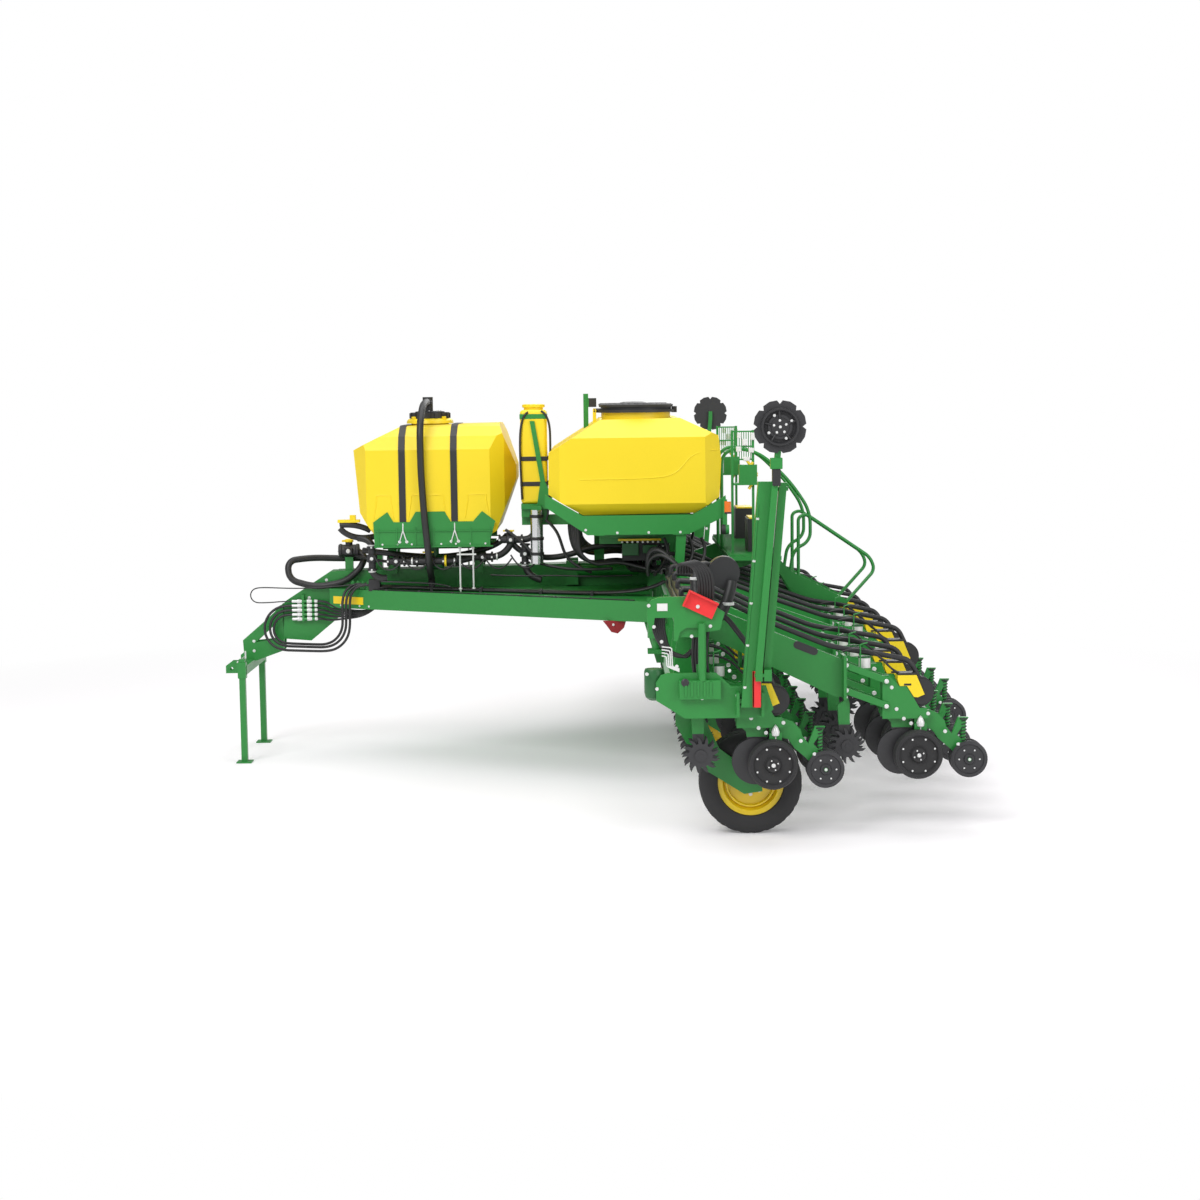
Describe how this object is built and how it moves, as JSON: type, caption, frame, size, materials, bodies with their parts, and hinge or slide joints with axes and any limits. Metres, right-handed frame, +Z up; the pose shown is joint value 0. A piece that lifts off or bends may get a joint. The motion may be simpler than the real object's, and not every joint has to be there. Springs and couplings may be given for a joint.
{
  "type": "split-row crop planter",
  "caption": "Towed split-row crop planter on wheels and stand legs, with folding wings, upright row markers, seed hoppers and a liquid tank.",
  "frame": {"origin": "on the ground below the middle of the planter's outer box", "axes": "-X the way it is towed, +Y its right side, +Z up"},
  "size_m": [7.168, 9.89, 3.63],
  "materials": {
    "green_paint": "satin green paint",
    "yellow_poly": "semi-gloss yellow moulded plastic",
    "black_plastic": "matt black plastic",
    "yellow_paint": "gloss yellow paint",
    "tyre_rubber": "tyre rubber",
    "wheel_rubber": "black rubber on dark steel discs",
    "dark_steel": "dark grey coated steel",
    "bright_steel": "bright steel",
    "black_paint": "satin black paint",
    "black_hose": "black hose rubber"
  },
  "bodies": {
    "frame": {"centre_toolbar": "green_paint", "filter_drum": "bright_steel", "front_tank": "yellow_poly", "hitch_bar": "green_paint", "hitch_cable": "black_hose", "hitch_hose_0": "black_hose", "hitch_hose_1": "black_hose", "hitch_hose_2": "black_hose", "hopper_frame": "green_paint", "platform": "green_paint", "row_units_centre": "green_paint", "seed_hoppers": "yellow_poly", "seed_meters_centre": "black_plastic", "slim_tank": "yellow_poly", "tank_cradle": "green_paint", "tank_lid": "black_plastic", "tank_plumbing": "black_hose", "tongue": "green_paint"},
    "left_wing": {"wing_toolbar_left": "green_paint", "row_units_left": "green_paint", "seed_meters_left": "black_plastic"},
    "left_stand_leg": {"stand_leg_left": "green_paint"},
    "left_hopper_lid": {"hopper_lid_left": "black_plastic"},
    "left_marker_inner": {"marker_inner_left": "green_paint"},
    "left_marker_middle": {"marker_middle_left": "green_paint"},
    "left_marker_outer": {"marker_outer_left": "green_paint"},
    "left_marker_disc": {"marker_disc_left": "dark_steel"},
    "left_marker_barrel": {"marker_barrel_left": "black_paint"},
    "left_marker_rod": {"marker_rod_left": "bright_steel"},
    "left_wing_wheel": {"tyre_wing_left": "tyre_rubber", "rim_wing_left": "yellow_paint"},
    "left_centre_wheels": {"tyre_centre_left": "tyre_rubber", "rim_centre_left": "yellow_paint"},
    "right_wing": {"wing_toolbar_right": "green_paint", "row_units_right": "green_paint", "seed_meters_right": "black_plastic"},
    "right_stand_leg": {"stand_leg_right": "green_paint"},
    "right_hopper_lid": {"hopper_lid_right": "black_plastic"},
    "right_marker_inner": {"marker_inner_right": "green_paint"},
    "right_marker_middle": {"marker_middle_right": "green_paint"},
    "right_marker_outer": {"marker_outer_right": "green_paint"},
    "right_marker_disc": {"marker_disc_right": "dark_steel"},
    "right_marker_barrel": {"marker_barrel_right": "black_paint"},
    "right_marker_rod": {"marker_rod_right": "bright_steel"},
    "right_wing_wheel": {"tyre_wing_right": "tyre_rubber", "rim_wing_right": "yellow_paint"},
    "right_centre_wheels": {"tyre_centre_right": "tyre_rubber", "rim_centre_right": "yellow_paint"},
    "centre_front_gauge_wheels": {"gauge_wheels_centre_front": "wheel_rubber"},
    "centre_front_closing_wheels": {"closing_wheels_centre_front": "dark_steel"},
    "left_front_gauge_wheels": {"gauge_wheels_left_front": "wheel_rubber"},
    "left_front_closing_wheels": {"closing_wheels_left_front": "dark_steel"},
    "right_front_gauge_wheels": {"gauge_wheels_right_front": "wheel_rubber"},
    "right_front_closing_wheels": {"closing_wheels_right_front": "dark_steel"},
    "centre_rear_gauge_wheels": {"gauge_wheels_centre_rear": "wheel_rubber"},
    "centre_rear_closing_wheels": {"closing_wheels_centre_rear": "dark_steel"},
    "left_rear_gauge_wheels": {"gauge_wheels_left_rear": "wheel_rubber"},
    "left_rear_closing_wheels": {"closing_wheels_left_rear": "dark_steel"},
    "right_rear_gauge_wheels": {"gauge_wheels_right_rear": "wheel_rubber"},
    "right_rear_closing_wheels": {"closing_wheels_right_rear": "dark_steel"}
  },
  "joints": [
    {"name": "left_wing_fold", "type": "hinge", "parent": "frame", "child": "left_wing", "pos_m": [0.69, -2.05, 1.45], "axis": [0, 0, -1], "range_deg": [0, 90]},
    {"name": "left_leg_lift", "type": "slide", "parent": "frame", "child": "left_stand_leg", "axis": [0, 0, 1], "range_m": [0, 0.5]},
    {"name": "left_lid_hinge", "type": "hinge", "parent": "frame", "child": "left_hopper_lid", "pos_m": [0.147, -0.76, 3.46], "axis": [0, -1, 0], "range_deg": [0, 100]},
    {"name": "left_marker_swing", "type": "hinge", "parent": "left_wing", "child": "left_marker_inner", "pos_m": [1.36, -4.79, 1.18], "axis": [1, 0, 0], "range_deg": [0, 90]},
    {"name": "left_marker_unfold", "type": "hinge", "parent": "left_marker_inner", "child": "left_marker_middle", "pos_m": [1.61, -4.79, 2.87], "axis": [-1, 0, 0], "range_deg": [0, 180]},
    {"name": "left_marker_extend", "type": "hinge", "parent": "left_marker_middle", "child": "left_marker_outer", "pos_m": [1.42, -4.885, 1.4], "axis": [1, 0, 0], "range_deg": [0, 180]},
    {"name": "left_marker_disc_spin", "type": "hinge", "parent": "left_marker_outer", "child": "left_marker_disc", "pos_m": [1.594, -4.919, 3.36], "axis": [0, 1, 0], "continuous": true},
    {"name": "left_marker_cylinder_tilt", "type": "hinge", "parent": "left_wing", "child": "left_marker_barrel", "pos_m": [1.378, -4.01, 1.395], "axis": [1, 0, 0], "range_deg": [0, 5.35]},
    {"name": "left_marker_cylinder_stroke", "type": "slide", "parent": "left_marker_barrel", "child": "left_marker_rod", "axis": [0, -1, 0.0077], "range_m": [0, 0.3546]},
    {"name": "left_wing_wheel_spin", "type": "hinge", "parent": "left_wing", "child": "left_wing_wheel", "pos_m": [1.398, -4.19, 0.425], "axis": [0, 1, 0], "continuous": true},
    {"name": "left_centre_wheels_spin", "type": "hinge", "parent": "frame", "child": "left_centre_wheels", "pos_m": [1.398, -0.762, 0.425], "axis": [0, 1, 0], "continuous": true},
    {"name": "right_wing_fold", "type": "hinge", "parent": "frame", "child": "right_wing", "pos_m": [0.69, 2.05, 1.45], "axis": [0, 0, 1], "range_deg": [0, 90]},
    {"name": "right_leg_lift", "type": "slide", "parent": "frame", "child": "right_stand_leg", "axis": [0, 0, 1], "range_m": [0, 0.5]},
    {"name": "right_lid_hinge", "type": "hinge", "parent": "frame", "child": "right_hopper_lid", "pos_m": [0.147, 0.76, 3.46], "axis": [0, -1, 0], "range_deg": [0, 100]},
    {"name": "right_marker_swing", "type": "hinge", "parent": "right_wing", "child": "right_marker_inner", "pos_m": [1.36, 4.79, 1.18], "axis": [-1, 0, 0], "range_deg": [0, 90]},
    {"name": "right_marker_unfold", "type": "hinge", "parent": "right_marker_inner", "child": "right_marker_middle", "pos_m": [1.61, 4.79, 2.87], "axis": [1, 0, 0], "range_deg": [0, 180]},
    {"name": "right_marker_extend", "type": "hinge", "parent": "right_marker_middle", "child": "right_marker_outer", "pos_m": [1.42, 4.885, 1.4], "axis": [-1, 0, 0], "range_deg": [0, 180]},
    {"name": "right_marker_disc_spin", "type": "hinge", "parent": "right_marker_outer", "child": "right_marker_disc", "pos_m": [1.594, 4.919, 3.36], "axis": [0, 1, 0], "continuous": true},
    {"name": "right_marker_cylinder_tilt", "type": "hinge", "parent": "right_wing", "child": "right_marker_barrel", "pos_m": [1.378, 4.01, 1.395], "axis": [-1, 0, 0], "range_deg": [0, 5.35]},
    {"name": "right_marker_cylinder_stroke", "type": "slide", "parent": "right_marker_barrel", "child": "right_marker_rod", "axis": [0, 1, 0.0077], "range_m": [0, 0.3546]},
    {"name": "right_wing_wheel_spin", "type": "hinge", "parent": "right_wing", "child": "right_wing_wheel", "pos_m": [1.398, 4.19, 0.425], "axis": [0, 1, 0], "continuous": true},
    {"name": "right_centre_wheels_spin", "type": "hinge", "parent": "frame", "child": "right_centre_wheels", "pos_m": [1.398, 0.762, 0.425], "axis": [0, 1, 0], "continuous": true},
    {"name": "centre_front_gauge_wheels_spin", "type": "hinge", "parent": "frame", "child": "centre_front_gauge_wheels", "pos_m": [1.548, 0, 0.65], "axis": [0, 1, 0], "continuous": true},
    {"name": "centre_front_closing_wheels_spin", "type": "hinge", "parent": "frame", "child": "centre_front_closing_wheels", "pos_m": [1.977, 0, 0.596], "axis": [0, 1, 0], "continuous": true},
    {"name": "left_front_gauge_wheels_spin", "type": "hinge", "parent": "left_wing", "child": "left_front_gauge_wheels", "pos_m": [1.548, -3.4, 0.65], "axis": [0, 1, 0], "continuous": true},
    {"name": "left_front_closing_wheels_spin", "type": "hinge", "parent": "left_wing", "child": "left_front_closing_wheels", "pos_m": [1.977, -3.4, 0.596], "axis": [0, 1, 0], "continuous": true},
    {"name": "right_front_gauge_wheels_spin", "type": "hinge", "parent": "right_wing", "child": "right_front_gauge_wheels", "pos_m": [1.548, 3.4, 0.65], "axis": [0, 1, 0], "continuous": true},
    {"name": "right_front_closing_wheels_spin", "type": "hinge", "parent": "right_wing", "child": "right_front_closing_wheels", "pos_m": [1.977, 3.4, 0.596], "axis": [0, 1, 0], "continuous": true},
    {"name": "centre_rear_gauge_wheels_spin", "type": "hinge", "parent": "frame", "child": "centre_rear_gauge_wheels", "pos_m": [3.003, 0, 0.65], "axis": [0, 1, 0], "continuous": true},
    {"name": "centre_rear_closing_wheels_spin", "type": "hinge", "parent": "frame", "child": "centre_rear_closing_wheels", "pos_m": [3.432, 0, 0.596], "axis": [0, 1, 0], "continuous": true},
    {"name": "left_rear_gauge_wheels_spin", "type": "hinge", "parent": "left_wing", "child": "left_rear_gauge_wheels", "pos_m": [2.774, -3.4, 0.65], "axis": [0, 1, 0], "continuous": true},
    {"name": "left_rear_closing_wheels_spin", "type": "hinge", "parent": "left_wing", "child": "left_rear_closing_wheels", "pos_m": [3.203, -3.4, 0.596], "axis": [0, 1, 0], "continuous": true},
    {"name": "right_rear_gauge_wheels_spin", "type": "hinge", "parent": "right_wing", "child": "right_rear_gauge_wheels", "pos_m": [2.774, 3.4, 0.65], "axis": [0, 1, 0], "continuous": true},
    {"name": "right_rear_closing_wheels_spin", "type": "hinge", "parent": "right_wing", "child": "right_rear_closing_wheels", "pos_m": [3.203, 3.4, 0.596], "axis": [0, 1, 0], "continuous": true}
  ],
  "couplings": [
    {"joint": "left_marker_unfold", "follows": "left_marker_swing", "ratio": 2},
    {"joint": "left_marker_extend", "follows": "left_marker_swing", "ratio": 2},
    {"joint": "left_marker_cylinder_tilt", "follows": "left_marker_swing", "ratio": 0.05888},
    {"joint": "left_marker_cylinder_stroke", "follows": "left_marker_swing", "m_per_rad": 0.2251},
    {"joint": "right_marker_unfold", "follows": "right_marker_swing", "ratio": 2},
    {"joint": "right_marker_extend", "follows": "right_marker_swing", "ratio": 2},
    {"joint": "right_marker_cylinder_tilt", "follows": "right_marker_swing", "ratio": 0.05888},
    {"joint": "right_marker_cylinder_stroke", "follows": "right_marker_swing", "m_per_rad": 0.2251}
  ]
}
